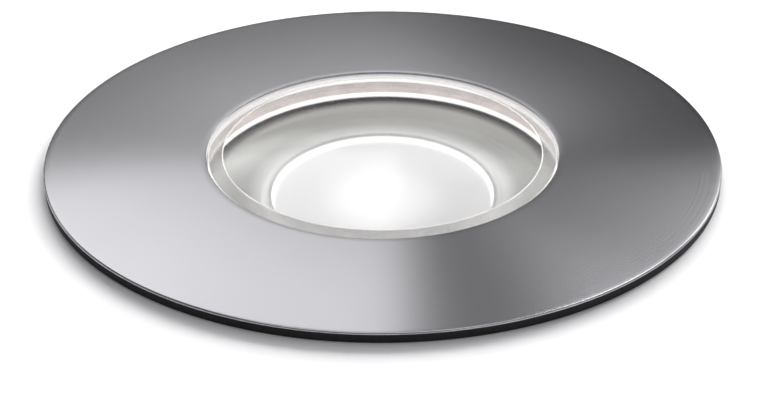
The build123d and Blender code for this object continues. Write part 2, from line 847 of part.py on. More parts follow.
def make_mounting_sleeve():
    sleeve = turned(
        (sleeve_bore, sleeve_foot),
        (rib_radius, sleeve_foot),
        (rib_radius, sleeve_foot + foot_height),
        (sleeve_radius, sleeve_foot + foot_height),
        (sleeve_radius, -collar_height),
        (collar_radius, -collar_height),
        (collar_radius, 0),
        (sleeve_bore, 0),
    )
    middle = (sleeve_bore + sleeve_radius) / 2
    for number in range(1, ring_rib_count + 1):
        height = -collar_height - number * ring_rib_pitch
        sleeve += ring(middle, rib_radius, height - ring_rib_height, height)
    upright = Pos((rib_radius + middle) / 2, 0, sleeve_foot) * Box(
        rib_radius - middle, upright_rib_width, -collar_height - sleeve_foot, align=upward
    )
    step = 360 / upright_rib_count
    ribs = [Rot(0, 0, (number + 0.5) * step) * upright for number in range(upright_rib_count)]
    sleeve += ribs
    sleeve &= rod(rib_radius, sleeve_foot, -collar_height) + rod(collar_radius, -collar_height, 0)
    for side in (0, 180):
        sleeve += Rot(0, 0, side) * entry_along(entry_pad_radius, entry_pad_face, middle)
    sleeve -= entry_along(conduit_bore + conduit_hole_gap, entry_pad_face, collar_radius)
    return sleeve - Rot(0, 0, 180) * entry_along(plug_hole_radius, entry_pad_face, collar_radius)


def make_conduit_hub():
    # a socket with a stop at its inner end, cemented to the sleeve's pad; profile in radius and distance
    radius = conduit_bore + hub_wall
    stop = entry_pad_face - conduit_depth
    inner_end = stop - hub_stop_thickness
    hub = turned(
        (conduit_bore - hub_stop_width, inner_end),
        (radius, inner_end),
        (radius, entry_pad_face - hub_flange_thickness),
        (radius + hub_flange_width, entry_pad_face - hub_flange_thickness),
        (radius + hub_flange_width, entry_pad_face),
        (conduit_bore + conduit_lead_in, entry_pad_face),
        (conduit_bore, entry_pad_face - conduit_lead_in),
        (conduit_bore, stop),
        (conduit_bore - hub_stop_width, stop),
    )
    return Pos(0, 0, entry_height) * Rot(0, 90, 0) * hub


def make_entry_plug():
    # a cup that is pressed into the spare entry from inside
    outside = plug_hole_radius - plug_gap
    flange_end = entry_pad_face - plug_flange_thickness
    end = sleeve_bore + plug_reach
    plug = turned(
        (0, end - plug_floor),
        (outside - plug_wall, end - plug_floor),
        (outside - plug_wall, flange_end),
        (outside + plug_flange_width, flange_end),
        (outside + plug_flange_width, entry_pad_face),
        (outside, entry_pad_face),
        (outside, end),
        (0, end),
    )
    return Rot(0, 0, 180) * Pos(0, 0, entry_height) * Rot(0, 90, 0) * plug


pieces = {
    "trim_plate": make_trim_plate(),
    "rim_gasket": make_rim_gasket(),
    "trim_studs": make_trim_studs(),
    "trim_nuts": make_trim_nuts(),
    "glass_lens": make_glass_lens(),
    "glass_top_seal": make_glass_top_seal(),
    "glass_seat_seal": make_glass_seat_seal(),
    "bezel_ring": make_bezel_ring(),
    "lamp_housing": make_lamp_housing(),
    "housing_o_ring": squeezed_ring(joint_ring_radius, joint - o_ring_height),
    "housing_screws": make_housing_screws(),
    "reflector_dish": make_reflector_dish(),
    "diffuser_disc": make_diffuser_disc(),
    "light_cup": make_light_cup(),
    "led_board": make_led_board(),
    "led_chips": make_led_chips(),
    "thermal_pad": make_thermal_pad(),
    "board_screws": make_board_screws(),
    "lead_connector": make_lead_connector(),
    "led_leads": make_led_leads(),
    "driver_board": make_driver_board(),
    "driver_screws": make_driver_screws(),
    "driver_transformer": make_driver_transformer(),
    "driver_capacitors": make_driver_capacitors(),
    "driver_choke": make_driver_choke(),
    "terminal_block": make_terminal_block(),
    "terminal_screws": make_terminal_screws(),
    "earth_screw": make_earth_screw(),
    "bottom_cover": make_bottom_cover(),
    "cover_o_ring": squeezed_ring(cover_ring_radius, cover_top - o_ring_height),
    "cover_screws": make_cover_screws(),
    "breather_valve": make_breather_valve(),
    "gland_washer": make_gland_washer(),
    "gland_body": make_gland_body(),
    "gland_locknut": make_gland_locknut(),
    "gland_seal": make_gland_seal(),
    "gland_nut": make_gland_nut(),
    "grip_pins": make_grip_pins(),
    "mounting_sleeve": make_mounting_sleeve(),
    "conduit_hub": make_conduit_hub(),
    "entry_plug": make_entry_plug(),
}
for number, angle in enumerate(arm_angles, start=1):
    pieces[f"grip_arm_{number}"] = make_grip_arm(angle)
    pieces[f"grip_spring_{number}"] = make_grip_spring(angle)

os.makedirs("parts", exist_ok=True)
for name, piece in pieces.items():
    export_step(piece, f"parts/{name}.step")
    print(name, len(piece.solids()), round(piece.volume, 1))
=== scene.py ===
import json
import math
import bpy
import numpy as np
from mathutils import Matrix, Vector

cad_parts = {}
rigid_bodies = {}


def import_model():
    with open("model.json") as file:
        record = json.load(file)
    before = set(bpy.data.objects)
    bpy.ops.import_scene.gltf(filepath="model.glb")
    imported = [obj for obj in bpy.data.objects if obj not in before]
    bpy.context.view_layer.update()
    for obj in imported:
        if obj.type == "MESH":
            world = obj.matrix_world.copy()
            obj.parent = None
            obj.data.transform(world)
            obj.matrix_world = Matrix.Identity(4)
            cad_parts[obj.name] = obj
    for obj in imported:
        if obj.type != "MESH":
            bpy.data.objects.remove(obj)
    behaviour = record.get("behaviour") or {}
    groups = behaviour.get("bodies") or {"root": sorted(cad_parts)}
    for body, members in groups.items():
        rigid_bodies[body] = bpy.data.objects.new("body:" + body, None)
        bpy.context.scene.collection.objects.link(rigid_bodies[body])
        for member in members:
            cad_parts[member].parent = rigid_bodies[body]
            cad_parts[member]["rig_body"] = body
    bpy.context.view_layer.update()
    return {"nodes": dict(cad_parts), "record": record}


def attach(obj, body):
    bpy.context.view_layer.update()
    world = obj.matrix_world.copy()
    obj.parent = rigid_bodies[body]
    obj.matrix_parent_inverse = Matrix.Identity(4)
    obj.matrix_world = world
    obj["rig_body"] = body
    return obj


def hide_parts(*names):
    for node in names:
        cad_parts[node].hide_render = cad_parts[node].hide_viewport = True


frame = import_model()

nodes = frame["nodes"]
mm = 0.001  # every size below is in millimetres unless it says otherwise
print("frame loaded:", len(nodes), "nodes")


cameraView = {
    "distance": 464.8,  # from the middle of the plate, at the ground's level
    "elevation": 28.344,  # of the camera as seen from there; every angle here is in degrees
    "aimDown": 29.338,
    "aimAside": 0.032,
    "tilt": -0.293,
    "lens": 117.3,
    "sensor": 36.0,
    "clip": (0.01, 20.0),  # metres
}


def placeCamera(view):
    # the camera stands in front of the lamp and looks down on it; its axes come from two turns and a tilt
    up, down, aside, tilt = (math.radians(view[k]) for k in ("elevation", "aimDown", "aimAside", "tilt"))
    forward = Vector((math.sin(aside) * math.cos(down), math.cos(aside) * math.cos(down), -math.sin(down)))
    level = Vector((math.cos(aside), -math.sin(aside), 0))
    upright = level.cross(forward)
    right = math.cos(tilt) * level + math.sin(tilt) * upright
    above = math.cos(tilt) * upright - math.sin(tilt) * level
    lens = bpy.data.cameras.new("camera")
    lens.lens, lens.sensor_width = view["lens"], view["sensor"]
    lens.clip_start, lens.clip_end = view["clip"]
    camera = bpy.data.objects.new("camera", lens)
    bpy.context.scene.collection.objects.link(camera)
    place = Vector((0, -math.cos(up), math.sin(up))) * view["distance"] * mm
    camera.matrix_world = Matrix.Translation(place) @ Matrix((right, above, -forward)).transposed().to_4x4()
    bpy.context.scene.camera = camera


placeCamera(cameraView)
bpy.context.scene.view_settings.view_transform = "Standard"
print("camera placed")


def linear(hexText):
    # an sRGB hex colour as linear red, green, blue, alpha; the numbers are the sRGB standard's own curve
    shares = [int(hexText[i : i + 2], 16) / 255 for i in (1, 3, 5)]
    return [s / 12.92 if s <= 0.04045 else ((s + 0.055) / 1.055) ** 2.4 for s in shares] + [1.0]


def addNode(tree, kind, settings=None, links=None):
    # settings are the node's own options or its sockets' values, links are sockets that feed it
    node = tree.nodes.new(kind)
    for name, value in (settings or {}).items():
        if isinstance(name, str) and hasattr(node, name):
            setattr(node, name, value)
        else:
            node.inputs[name].default_value = value
    for name, source in (links or {}).items():
        tree.links.new(source, node.inputs[name])
    return node


def newFinish(name, sockets):
    # an empty material with its main shader; sockets are the shader's constant values
    finish = bpy.data.materials.new(name)
    finish.use_nodes = True
    tree = finish.node_tree
    shader = next(n for n in tree.nodes if n.type == "BSDF_PRINCIPLED")
    for socket, value in sockets.items():
        shader.inputs[socket].default_value = value
    return finish, tree, shader


def perSize(size):
    # a noise scale that gives features of this size
    return 1 / (size * mm)


noiseSpan = (0.3, 0.7)  # most of a noise's values lie between these
patchSpan = (0.35, 0.65)  # a narrower part of them, so that patches of colour show


def shadeAndRelief(tree, shader, spec, colourNoise, reliefNoise, span):
    # one noise moves the colour between the dark and the light shade; the other moves the roughness between
    # its two values and stands up as bump; the colour is given back, to be linked by the caller
    shade = addNode(tree, "ShaderNodeValToRGB", {}, {"Fac": colourNoise})
    for element, position, colour in zip(shade.color_ramp.elements, span, (spec["dark"], spec["light"])):
        element.position, element.color = position, linear(colour)
    smooth, coarse = spec["rough"]
    gloss = addNode(
        tree,
        "ShaderNodeMapRange",
        {"From Min": noiseSpan[0], "From Max": noiseSpan[1], "To Min": smooth, "To Max": coarse},
        {"Value": reliefNoise},
    )
    tree.links.new(gloss.outputs["Result"], shader.inputs["Roughness"])
    bump = addNode(
        tree,
        "ShaderNodeBump",
        {"Strength": spec.get("bump", 0.3), "Distance": spec.get("relief", 0.03) * mm},
        {"Height": reliefNoise},
    )
    tree.links.new(bump.outputs["Normal"], shader.inputs["Normal"])
    return shade.outputs["Color"]


def grainedFinish(name, spec):
    # a cast, moulded or sintered surface: broad patches and fine grain share the colour, and the grain alone
    # makes the gloss and the bump
    finish, tree, shader = newFinish(name, {"Metallic": spec.get("metallic", 0.0), **spec.get("sockets", {})})
    place = addNode(tree, "ShaderNodeTexCoord").outputs["Object"]
    broad = addNode(
        tree,
        "ShaderNodeTexNoise",
        {"Scale": perSize(spec.get("patch", 12.0)), "Detail": 3.0, "Roughness": 0.6},
        {"Vector": place},
    ).outputs["Fac"]
    grain = addNode(
        tree,
        "ShaderNodeTexNoise",
        {"Scale": perSize(spec["grain"]), "Detail": 2.0, "Roughness": 0.55},
        {"Vector": place},
    ).outputs["Fac"]
    both = addNode(tree, "ShaderNodeMix", {"data_type": "FLOAT", 0: 0.5}, {2: broad, 3: grain})
    colour = shadeAndRelief(tree, shader, spec, both.outputs[0], grain, patchSpan)
    tree.links.new(colour, shader.inputs["Base Color"])
    return finish


def radiusSocket(tree):
    # Object coordinates, and the distance from the lamp's axis that they give, in metres
    place = addNode(tree, "ShaderNodeTexCoord").outputs["Object"]
    flat = addNode(tree, "ShaderNodeVectorMath", {"operation": "MULTIPLY", 1: (1, 1, 0)}, {0: place})
    length = addNode(tree, "ShaderNodeVectorMath", {"operation": "LENGTH"}, {0: flat.outputs[0]})
    return place, length.outputs["Value"]


def betweenRadii(near, far, inside, outside):
    # settings of a Map Range that goes smoothly from one value to the other between two radii
    values = {"From Min": near * mm, "From Max": far * mm, "To Min": inside, "To Max": outside}
    return {"interpolation_type": "SMOOTHSTEP", **values}


def turnedFinish(name, spec):
    # a metal turned or brushed in circles: one-dimensional noise of the distance from the axis makes the
    # rings, which move the shade, the roughness and the bump; the gloss may be stretched across them
    finish, tree, shader = newFinish(name, {"Metallic": 1.0, **spec["sockets"]})
    place, radius = radiusSocket(tree)
    rings = addNode(
        tree,
        "ShaderNodeTexNoise",
        {"noise_dimensions": "1D", "Scale": perSize(spec["ring"]), "Detail": 3.0, "Roughness": 0.7},
        {"W": radius},
    ).outputs["Fac"]
    cloud = addNode(
        tree, "ShaderNodeTexNoise", {"Scale": perSize(spec["patch"]), "Detail": 2.0}, {"Vector": place}
    ).outputs["Fac"]
    both = addNode(tree, "ShaderNodeMix", {"data_type": "FLOAT", 0: 0.3}, {2: rings, 3: cloud})
    colour = shadeAndRelief(tree, shader, spec, both.outputs[0], rings, noiseSpan)
    # painted shade: the colour is darkened smoothly beyond a radius, where the glass and its seal shade the
    # dish
    if "darkFrom" in spec:
        near, far, least = spec["darkFrom"]
        share = addNode(tree, "ShaderNodeMapRange", betweenRadii(near, far, 1.0, least), {"Value": radius})
        dimmed = addNode(
            tree, "ShaderNodeVectorMath", {"operation": "SCALE"}, {0: colour, "Scale": share.outputs["Result"]}
        )
        colour = dimmed.outputs[0]
    # painted light: emission between two radii stands in for the lit disc's light on the metal round it
    if "glow" in spec:
        fading = addNode(tree, "ShaderNodeMapRange", betweenRadii(*spec["glow"]), {"Value": radius})
        starting = addNode(tree, "ShaderNodeMapRange", betweenRadii(*spec["glowFrom"]), {"Value": radius})
        both = {0: fading.outputs["Result"], 1: starting.outputs["Result"]}
        glow = addNode(tree, "ShaderNodeMath", {"operation": "MULTIPLY"}, both)
        tree.links.new(glow.outputs[0], shader.inputs["Emission Strength"])
    tree.links.new(colour, shader.inputs["Base Color"])
    if spec["sockets"].get("Anisotropic"):
        tangent = addNode(tree, "ShaderNodeTangent", {"direction_type": "RADIAL", "axis": "Z"})
        tree.links.new(tangent.outputs["Tangent"], shader.inputs["Tangent"])
    return finish


finishes = {}

# stainless steel 1.4301, brushed in fine circles: a grey metal whose gloss spreads out from the middle
finishes["brushed_stainless"] = turnedFinish(
    "brushedStainless",
    {
        "dark": "#bdbcc0",
        "light": "#c6c5c9",
        "ring": 0.35,  # brush lines, coarser than the real 0.05 mm grit so that they show
        "patch": 30.0,
        "rough": (0.2, 0.23),
        "bump": 0.04,
        "relief": 0.004,
        "sockets": {"Anisotropic": 0.85, "Anisotropic Rotation": 0.25},
    },
)

# EPDM rubber, moulded: near black, matt, with the mould's fine grain
finishes["black_rubber"] = grainedFinish(
    "blackRubber",
    {
        "dark": "#070708",
        "light": "#0e0e0f",
        "grain": 0.4,
        "patch": 9.0,
        "rough": (0.6, 0.8),
        "relief": 0.02,
    },
)

# silicone rubber, translucent: milky white, with a painted glow
finishes["clear_silicone"] = grainedFinish(
    "clearSilicone",
    {
        "dark": "#e6e6e4",
        "light": "#f4f4f2",
        "grain": 0.8,
        "rough": (0.3, 0.45),
        "bump": 0.1,
        "sockets": {
            "Subsurface Weight": 0.3,
            "Subsurface Scale": 0.001,
            "Emission Color": linear("#ffffff"),
            "Emission Strength": 1.1,  # painted glow: the seal glows on its own, standing in for the lamp's light carried into it by the glass
        },
    },
)

# aluminium, pressure die cast and shot blasted: dull silver grey with a fine pitted grain
finishes["die_cast_aluminium"] = grainedFinish(
    "dieCastAluminium",
    {
        "dark": "#8b8d90",
        "light": "#a3a5a8",
        "metallic": 1.0,
        "grain": 0.45,
        "patch": 18.0,
        "rough": (0.48, 0.66),
        "relief": 0.05,
        "bump": 0.35,
    },
)

# aluminium, spun and satin anodised: green-grey with faint turning rings
finishes["anodised_dish"] = turnedFinish(
    "anodisedDish",
    {
        "dark": "#b6b8b5",
        "light": "#c7c9c6",
        "ring": 0.6,
        "patch": 20.0,
        "rough": (0.34, 0.42),
        "bump": 0.04,
        "relief": 0.004,
        "darkFrom": (29.6, 31.4, 0.12),  # painted shade: the metal is darkened where the glass and its seal shade it
        "glow": (20.7, 25.2, 0.42, 0.0),  # painted light: an emission ring that stands in for the disc's light on the metal round it
        "glowFrom": (20.0, 20.7, 0.05, 1.0),  # but not on the hem's edge
        "sockets": {"Emission Color": linear("#ffffff")},
    },
)

# polycarbonate, moulded white
finishes["white_moulding"] = grainedFinish(
    "whiteMoulding",
    {
        "dark": "#e4e5e6",
        "light": "#f1f2f2",
        "grain": 0.5,
        "rough": (0.35, 0.5),
        "bump": 0.12,
    },
)

# aluminium-core board under white solder mask: even white with a slight orange-peel gloss
finishes["white_solder_mask"] = grainedFinish(
    "whiteSolderMask",
    {
        "dark": "#e9ebea",
        "light": "#f3f4f3",
        "grain": 1.2,
        "rough": (0.28, 0.4),
        "bump": 0.08,
    },
)

# silicone heat pad, filled: soft grey with pale filler specks
finishes["grey_pad"] = grainedFinish(
    "greyPad",
    {
        "dark": "#77797b",
        "light": "#96989a",
        "grain": 0.35,
        "rough": (0.7, 0.9),
        "relief": 0.04,
    },
)

# A2 stainless screws, cold formed: bright with faint tool marks
finishes["stainless_fastener"] = grainedFinish(
    "stainlessFastener",
    {
        "dark": "#a9a8a8",
        "light": "#c6c5c4",
        "metallic": 1.0,
        "grain": 0.5,
        "patch": 3.0,
        "rough": (0.22, 0.36),
        "bump": 0.1,
    },
)

# spring steel wire, hard drawn: darker and smoother than the screws
finishes["spring_steel"] = grainedFinish(
    "springSteel",
    {
        "dark": "#7d7c7c",
        "light": "#9b9a99",
        "metallic": 1.0,
        "grain": 0.3,
        "patch": 2.0,
        "rough": (0.2, 0.32),
        "bump": 0.08,
    },
)

# epoxy-glass board under green solder mask
finishes["green_board"] = grainedFinish(
    "greenBoard",
    {
        "dark": "#0f4a2c",
        "light": "#1a6a40",
        "grain": 0.9,
        "patch": 4.0,
        "rough": (0.25, 0.4),
        "bump": 0.1,
    },
)

# ferrite, sintered and ground: charcoal grey, finely pitted
finishes["ferrite"] = grainedFinish(
    "ferrite",
    {
        "dark": "#26272a",
        "light": "#3a3b3f",
        "grain": 0.3,
        "rough": (0.45, 0.65),
        "relief": 0.04,
    },
)

# PVC sleeve shrunk on a capacitor can: glossy dark blue
finishes["can_sleeve"] = grainedFinish(
    "canSleeve",
    {
        "dark": "#141d3a",
        "light": "#1d2a52",
        "grain": 2.5,
        "rough": (0.2, 0.3),
        "bump": 0.05,
    },
)

# enamelled copper wire, wound: red-brown metal
finishes["copper_winding"] = grainedFinish(
    "copperWinding",
    {
        "dark": "#8a4a22",
        "light": "#c9783f",
        "metallic": 1.0,
        "grain": 0.5,
        "patch": 1.2,
        "rough": (0.25, 0.4),
        "bump": 0.4,
        "relief": 0.2,
    },
)

# polyamide, moulded grey
finishes["grey_moulding"] = grainedFinish(
    "greyMoulding",
    {
        "dark": "#8c8f92",
        "light": "#9fa2a4",
        "grain": 0.5,
        "rough": (0.42, 0.58),
        "relief": 0.03,
    },
)

# brass, turned: yellow metal
finishes["brass_screw"] = grainedFinish(
    "brassScrew",
    {
        "dark": "#b08a3e",
        "light": "#d3ac5a",
        "metallic": 1.0,
        "grain": 0.4,
        "patch": 2.0,
        "rough": (0.25, 0.38),
        "bump": 0.1,
    },
)

# brass under bright nickel: warm silver, fairly glossy
finishes["nickelled_brass"] = grainedFinish(
    "nickelledBrass",
    {
        "dark": "#aaa69c",
        "light": "#c5c1b6",
        "metallic": 1.0,
        "grain": 0.5,
        "patch": 6.0,
        "rough": (0.16, 0.28),
        "bump": 0.08,
    },
)

# polypropylene, moulded black with a spark-eroded grain
finishes["black_polypropylene"] = grainedFinish(
    "blackPolypropylene",
    {
        "dark": "#17181a",
        "light": "#232427",
        "grain": 0.6,
        "patch": 25.0,
        "rough": (0.42, 0.58),
        "relief": 0.05,
        "bump": 0.35,
    },
)

# silicone rubber on the lead wires: satin, one red and one black
wireCover = {"positive": "#9c1f1b", "negative": "#17171a", "rough": 0.45}


def wireFinish(spec):
    # the wire on the positive side of the lamp's middle plane is red, the other one black
    finish, tree, shader = newFinish("wireCover", {"Roughness": spec["rough"]})
    place = addNode(tree, "ShaderNodeTexCoord").outputs["Object"]
    parts = addNode(tree, "ShaderNodeSeparateXYZ", {}, {"Vector": place})
    side = addNode(tree, "ShaderNodeMath", {"operation": "GREATER_THAN", 1: 0.0}, {0: parts.outputs["X"]})
    colour = addNode(
        tree,
        "ShaderNodeMix",
        {"data_type": "RGBA", 6: linear(spec["negative"]), 7: linear(spec["positive"])},
        {0: side.outputs[0]},
    )
    tree.links.new(colour.outputs[2], shader.inputs["Base Color"])
    return finish


finishes["wire_jacket"] = wireFinish(wireCover)

# phosphor over the LED dies: yellow dome that glows warm white
ledPhosphor = {"dark": "#e8c84e", "light": "#f4dc7c", "glow": "#fff6dc", "strength": 3.0, "grain": 0.3}


def phosphorFinish(spec):
    sockets = {"Emission Color": linear(spec["glow"]), "Emission Strength": spec["strength"]}
    return grainedFinish(
        "ledPhosphor",
        {**{k: spec[k] for k in ("dark", "light", "grain")}, "rough": (0.4, 0.5), "sockets": sockets},
    )


finishes["led_phosphor"] = phosphorFinish(ledPhosphor)

# opal acrylic, lit from below: white glow that is strongest in the middle and falls off to the rim
opalDisc = {
    "base": "#c9c9c9",
    "glow": "#ffffff",
    "middle": 0.8,
    "face": 0.52,
    "wall": 1.3,
    "spot": (4.0, 14.0),  # the bright middle fades out between these radii
    "wallFrom": (19.2, 19.4),  # the sloping wall round the face glows more
    "rough": 0.35,
    "grain": 3.0,
    "uneven": (0.97, 1.03),  # of the glow, from grain to grain
}


def opalFinish(spec):
    finish, tree, shader = newFinish(
        "opalAcrylic",
        {
            "Base Color": linear(spec["base"]),
            "Roughness": spec["rough"],
            "Emission Color": linear(spec["glow"]),
        },
    )
    place, radius = radiusSocket(tree)
    grain = addNode(
        tree, "ShaderNodeTexNoise", {"Scale": perSize(spec["grain"]), "Detail": 2.0}, {"Vector": place}
    ).outputs["Fac"]
    spot = betweenRadii(*spec["spot"], spec["middle"], spec["face"])
    face = addNode(tree, "ShaderNodeMapRange", spot, {"Value": radius}).outputs["Result"]
    edge = betweenRadii(*spec["wallFrom"], 0.0, spec["wall"] - spec["face"])
    wall = addNode(tree, "ShaderNodeMapRange", edge, {"Value": radius}).outputs["Result"]
    both = addNode(tree, "ShaderNodeMath", {"operation": "ADD"}, {0: face, 1: wall}).outputs[0]
    least, most = spec["uneven"]
    even = addNode(tree, "ShaderNodeMapRange", {"To Min": least, "To Max": most}, {"Value": grain}).outputs[0]
    glow = addNode(tree, "ShaderNodeMath", {"operation": "MULTIPLY"}, {0: both, 1: even})
    tree.links.new(glow.outputs[0], shader.inputs["Emission Strength"])
    return finish


finishes["opal_acrylic"] = opalFinish(opalDisc)

# soda-lime glass, toughened: clear, with a slight haze that softens what it mirrors
clearGlass = {"tint": "#fefefe", "ior": 1.5, "roughness": 0.1}


def glassFinish(spec):
    sockets = {"Base Color": linear(spec["tint"]), "IOR": spec["ior"], "Transmission Weight": 1.0}
    return newFinish("clearGlass", {**sockets, "Roughness": spec["roughness"]})[0]


# the same glass, ground with a wheel: pale haze with fine scratches, which lets some or little light through;
# the wall and the flange get a painted glow
groundGlass = {
    # name: dark and light shade, share let through, roughness, grain, painted glow standing in for the light
    # carried to it
    "groundBevel": ("#c8c8c5", "#dedddb", 0.82, (0.16, 0.26), 0.35, 0.0),
    "groundWall": ("#f0efee", "#fffefd", 0.1, (0.4, 0.5), 0.6, 0.85),
    "groundFlange": ("#b4adab", "#dfd9d7", 0.1, (0.4, 0.6), 0.4, 0.42),
}


def groundFinish(name, dark, light, clear, rough, grain, glow):
    sockets = {"IOR": clearGlass["ior"], "Transmission Weight": clear}
    # painted light: the ground faces glow on their own, standing in for the lamp's light that the glass carries
    # to them
    if glow:
        sockets.update({"Emission Color": linear(light), "Emission Strength": glow})
    look = {"dark": dark, "light": light, "grain": grain, "rough": rough, "sockets": sockets}
    return grainedFinish(name, {**look, "patch": 4.0, "bump": 0.2})


groundFinishes = [groundFinish(name, *spec) for name, spec in groundGlass.items()]
finishes["clear_glass"] = glassFinish(clearGlass)

slotOf = {entry["node"]: entry["material_slot"] for entry in frame["record"]["subparts"]}
print("finishes made:", len(finishes) + len(groundFinishes))


def rounded(corners, steps=6):
    # an outline of (radius, height, rounding) corners with each corner cut by an arc: the arc touches both
    # edges at rounding / tan(half the corner's angle) from the corner, and its points are even in angle
    points = np.array([c[:2] for c in corners], float)
    outline = []
    for n, corner in enumerate(corners):
        here, size = points[n], corner[2] if len(corner) > 2 else 0
        if not size:
            outline.append(here[None])
            continue
        back = points[n - 1] - here
        ahead = points[(n + 1) % len(points)] - here
        back, ahead = back / np.hypot(*back), ahead / np.hypot(*ahead)
        half = math.acos(np.clip(back @ ahead, -1, 1)) / 2
        centre = here + (back + ahead) / np.hypot(*(back + ahead)) * size / math.sin(half)
        start = here + back * size / math.tan(half) - centre
        turn = math.pi - 2 * half
        turn *= 1 if back[0] * ahead[1] - back[1] * ahead[0] < 0 else -1
        angle = np.linspace(0, turn, steps + 1)
        c, s = np.cos(angle), np.sin(angle)
        outline.append(centre + np.stack([c * start[0] - s * start[1], s * start[0] + c * start[1]], 1))
    return np.concatenate(outline)


sharpFrom = 28  # degrees between two faces from which their edge stays sharp


def meshPiece(name, points, faces, slots=None):
    # makes the mesh from whole arrays, and turns every face round if the shape would be inside out: six times
    # its volume is the sum over the faces of a . (b x c) + a . (c x d); corners that fall together become one
    a, b, c, d = (points[faces[:, k]] for k in range(4))
    volume = np.einsum("ij,ij->", a, np.cross(b, c)) + np.einsum("ij,ij->", a, np.cross(c, d))
    if volume < 0:
        faces = faces[:, ::-1]
    mesh = bpy.data.meshes.new(name)
    three = (faces[:, 2] == faces[:, 3]) | (faces[:, 0] == faces[:, 1])
    lists = [list(dict.fromkeys(f)) for f in faces.tolist()] if three.any() else faces.tolist()
    mesh.from_pydata(points.tolist(), [], lists)
    mesh.polygons.foreach_set("use_smooth", np.ones(len(mesh.polygons), bool))
    if slots is not None:
        mesh.polygons.foreach_set("material_index", slots.astype(np.int32))
    mesh.set_sharp_from_angle(angle=math.radians(sharpFrom))
    piece = bpy.data.objects.new(name, mesh)
    bpy.context.scene.collection.objects.link(piece)
    return piece


def turnedPiece(name, outline, segments, edgeSlots=None):
    # a closed outline of (radius, height) in mm turned about the axis: point (i, j) is
    # (r_j cos t_i, r_j sin t_i, z_j) with t_i = 2 pi i / segments; outline points on the axis share one point,
    # and edgeSlots gives the finish of each of the outline's edges
    outline = np.asarray(outline, float)
    count = len(outline)
    angle = np.arange(segments) * 2 * np.pi / segments
    radius, height = outline[:, 0] * mm, outline[:, 1] * mm
    points = np.stack(
        [
            np.outer(np.cos(angle), radius),
            np.outer(np.sin(angle), radius),
            np.broadcast_to(height, (segments, count)),
        ],
        2,
    ).reshape(-1, 3)
    i, j = np.meshgrid(np.arange(segments), np.arange(count), indexing="ij")
    nextI, nextJ = (i + 1) % segments, (j + 1) % count
    onAxis = radius < 1e-9
    index = np.where(onAxis[j], j, i * count + j)
    indexNext = np.where(onAxis[j], j, nextI * count + j)
    faces = np.stack(
        [
            index,
            indexNext,
            np.where(onAxis[nextJ], nextJ, nextI * count + nextJ),
            np.where(onAxis[nextJ], nextJ, i * count + nextJ),
        ],
        2,
    ).reshape(-1, 4)
    keep = ~(onAxis[j] & onAxis[nextJ]).reshape(-1)
    slots = None
    if edgeSlots is not None:
        slots = np.asarray(edgeSlots)[j.reshape(-1)][keep]
    faces = faces[keep]
    used, packed = np.unique(faces, return_inverse=True)
    return meshPiece(name, points[used], packed.reshape(-1, 4), slots)


def fit(piece, node, *more):
    # the piece stands for these nodes: same body, same slot, and the slot's finish
    body = nodes[node]["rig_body"]
    piece.data.materials.append(finishes[slotOf[node]])
    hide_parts(node, *more)
    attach(piece, body)
    return piece


trimPlate = {
    "outer": 62.5,
    "window": 32.65,
    "under": 0.9,
    "lip": (61.75, 1.58),  # the rim hangs over the gasket's lip from this radius, above this height
    "edgeTop": 2.0,
    "windowTop": 2.6,
    "edgeRound": 0.34,
    "footRound": 0.12,
    "rings": 24,
    "windowRound": 0.12,
    "arcSteps": 8,
    "segments": 480,
}


def makeTrimPlate(spec):
    # the top falls by the crown times the square of the share of the way from the window to the rim
    share = np.linspace(1, 0, spec["rings"] + 1)[1:-1]
    width, fall = spec["outer"] - spec["window"], spec["windowTop"] - spec["edgeTop"]
    crown = np.stack([spec["window"] + share * width, spec["windowTop"] - fall * share**2], 1)
    outline = rounded(
        [
            (spec["window"], spec["under"], spec["windowRound"]),
            (spec["lip"][0], spec["under"], spec["footRound"]),
            (spec["lip"][0], spec["lip"][1], spec["footRound"]),
            (spec["outer"], spec["lip"][1], spec["footRound"]),
            (spec["outer"], spec["edgeTop"], spec["edgeRound"]),
            *crown,
            (spec["window"], spec["windowTop"], spec["windowRound"]),
        ],
        spec["arcSteps"],
    )
    return fit(turnedPiece("trimPlate", outline, spec["segments"]), "trim_plate")


rimGasket = {
    "outer": 62.4,
    "bore": 46.5,
    "top": 0.9,
    "lip": (61.8, 1.56),
    "groove": (49.9, 51.0),
    "grooveTop": 0.3,
    "round": 0.18,
    "grooveRound": 0.08,
    "boreRound": 0.1,
    "cornerRound": 0.05,  # where the lip rises from the flat ring
    "arcSteps": 4,
    "segments": 480,
}


def makeRimGasket(spec):
    # a flat ring with a groove below and a lip that stands up round the plate's edge: its section, turned
    inner, outer = spec["groove"]
    lip, lipTop = spec["lip"]
    small = spec["grooveRound"]
    outline = rounded(
        [
            (spec["bore"], 0, spec["boreRound"]),
            (inner, 0, small),
            (inner, spec["grooveTop"], small),
            (outer, spec["grooveTop"], small),
            (outer, 0, small),
            (spec["outer"], 0, spec["round"]),
            (spec["outer"], lipTop, spec["round"]),
            (lip, lipTop, small),
            (lip, spec["top"], spec["cornerRound"]),
            (spec["bore"], spec["top"], spec["boreRound"]),
        ],
        spec["arcSteps"],
    )
    return fit(turnedPiece("rimGasket", outline, spec["segments"]), "rim_gasket")


glassLens = {
    "flat": 29.5,
    "upper": 32.35,
    "flange": 34.0,
    "top": 2.6,
    "bevelDrop": 0.6,
    "step": -3.4,
    "bottom": -9.4,
    "edgeBreak": 0.15,
    "seatBore": 31.8,  # the ground ring that lies on the seal
    "arris": 0.22,  # width of the lines where the bevel begins and ends
    "segments": 480,
}


